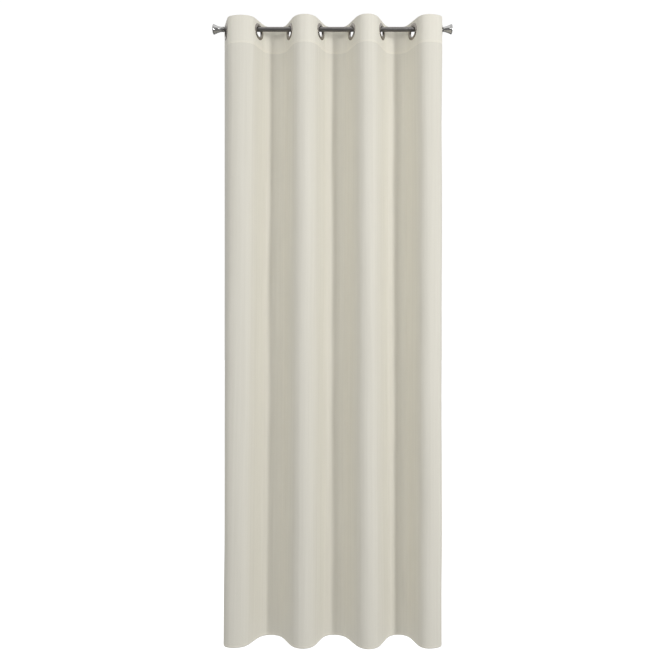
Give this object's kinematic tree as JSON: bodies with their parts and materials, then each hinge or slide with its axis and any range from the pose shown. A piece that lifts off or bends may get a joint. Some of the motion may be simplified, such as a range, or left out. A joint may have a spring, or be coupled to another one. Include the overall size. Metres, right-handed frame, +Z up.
{
  "type": "eyelet curtain on a rod",
  "caption": "Full-length ivory cloth curtain with a stiffened header, hung by metal eyelets in soft wave folds on a straight metal rod with flared finials.",
  "frame": {"origin": "middle of the rod's length, on the rod's axis", "axes": "+X along the rod to the right as seen from the room, +Y from the room towards the window, +Z up"},
  "size_m": [0.9672, 0.1268, 2.5],
  "materials": {
    "cloth": "matte woven ivory cloth with a faint satin sheen",
    "tape": "white stiffener tape, matte",
    "rod": "satin dark nickel",
    "ring": "polished dark nickel",
    "chrome": "polished nickel",
    "zinc": "plain zinc plate, satin"
  },
  "bodies": {
    "rod": {"rod_tube": "rod", "curtain_panel": "cloth", "header_tape": "tape", "eyelet_1_front": "ring", "eyelet_1_back": "ring"},
    "eyelet_2": {"eyelet_2_front": "ring", "eyelet_2_back": "ring"},
    "eyelet_3": {"eyelet_3_front": "ring", "eyelet_3_back": "ring"},
    "eyelet_4": {"eyelet_4_front": "ring", "eyelet_4_back": "ring"},
    "eyelet_5": {"eyelet_5_front": "ring", "eyelet_5_back": "ring"},
    "eyelet_6": {"eyelet_6_front": "ring", "eyelet_6_back": "ring"},
    "eyelet_7": {"eyelet_7_front": "ring", "eyelet_7_back": "ring"},
    "eyelet_8": {"eyelet_8_front": "ring", "eyelet_8_back": "ring"},
    "finial_left": {"finial_left_collar": "chrome", "finial_left_bell": "chrome", "finial_left_cap": "chrome", "finial_left_spigot": "zinc", "finial_left_nut": "zinc"},
    "finial_right": {"finial_right_collar": "chrome", "finial_right_bell": "chrome", "finial_right_cap": "chrome", "finial_right_spigot": "zinc", "finial_right_nut": "zinc"}
  },
  "joints": [
    {"name": "curtain_draw", "type": "slide", "parent": "rod", "child": "eyelet_8", "axis": [-1, 0, 0], "range_m": [0, 0.5163], "deforming": ["curtain_panel", "header_tape"]},
    {"name": "eyelet_2_slide", "type": "slide", "parent": "rod", "child": "eyelet_2", "axis": [-1, 0, 0], "range_m": [0, 0.0782]},
    {"name": "eyelet_3_slide", "type": "slide", "parent": "rod", "child": "eyelet_3", "axis": [-1, 0, 0], "range_m": [0, 0.1538]},
    {"name": "eyelet_4_slide", "type": "slide", "parent": "rod", "child": "eyelet_4", "axis": [-1, 0, 0], "range_m": [0, 0.2277]},
    {"name": "eyelet_5_slide", "type": "slide", "parent": "rod", "child": "eyelet_5", "axis": [-1, 0, 0], "range_m": [0, 0.304]},
    {"name": "eyelet_6_slide", "type": "slide", "parent": "rod", "child": "eyelet_6", "axis": [-1, 0, 0], "range_m": [0, 0.3755]},
    {"name": "eyelet_7_slide", "type": "slide", "parent": "rod", "child": "eyelet_7", "axis": [-1, 0, 0], "range_m": [0, 0.4511]},
    {"name": "finial_left_pull", "type": "slide", "parent": "rod", "child": "finial_left", "axis": [-1, 0, 0], "range_m": [0, 0.045]},
    {"name": "finial_right_pull", "type": "slide", "parent": "rod", "child": "finial_right", "axis": [1, 0, 0], "range_m": [0, 0.045]}
  ],
  "couplings": [
    {"joint": "eyelet_2_slide", "follows": "curtain_draw", "ratio": 0.15047},
    {"joint": "eyelet_3_slide", "follows": "curtain_draw", "ratio": 0.29695},
    {"joint": "eyelet_4_slide", "follows": "curtain_draw", "ratio": 0.43997},
    {"joint": "eyelet_5_slide", "follows": "curtain_draw", "ratio": 0.58776},
    {"joint": "eyelet_6_slide", "follows": "curtain_draw", "ratio": 0.7263},
    {"joint": "eyelet_7_slide", "follows": "curtain_draw", "ratio": 0.87278}
  ]
}
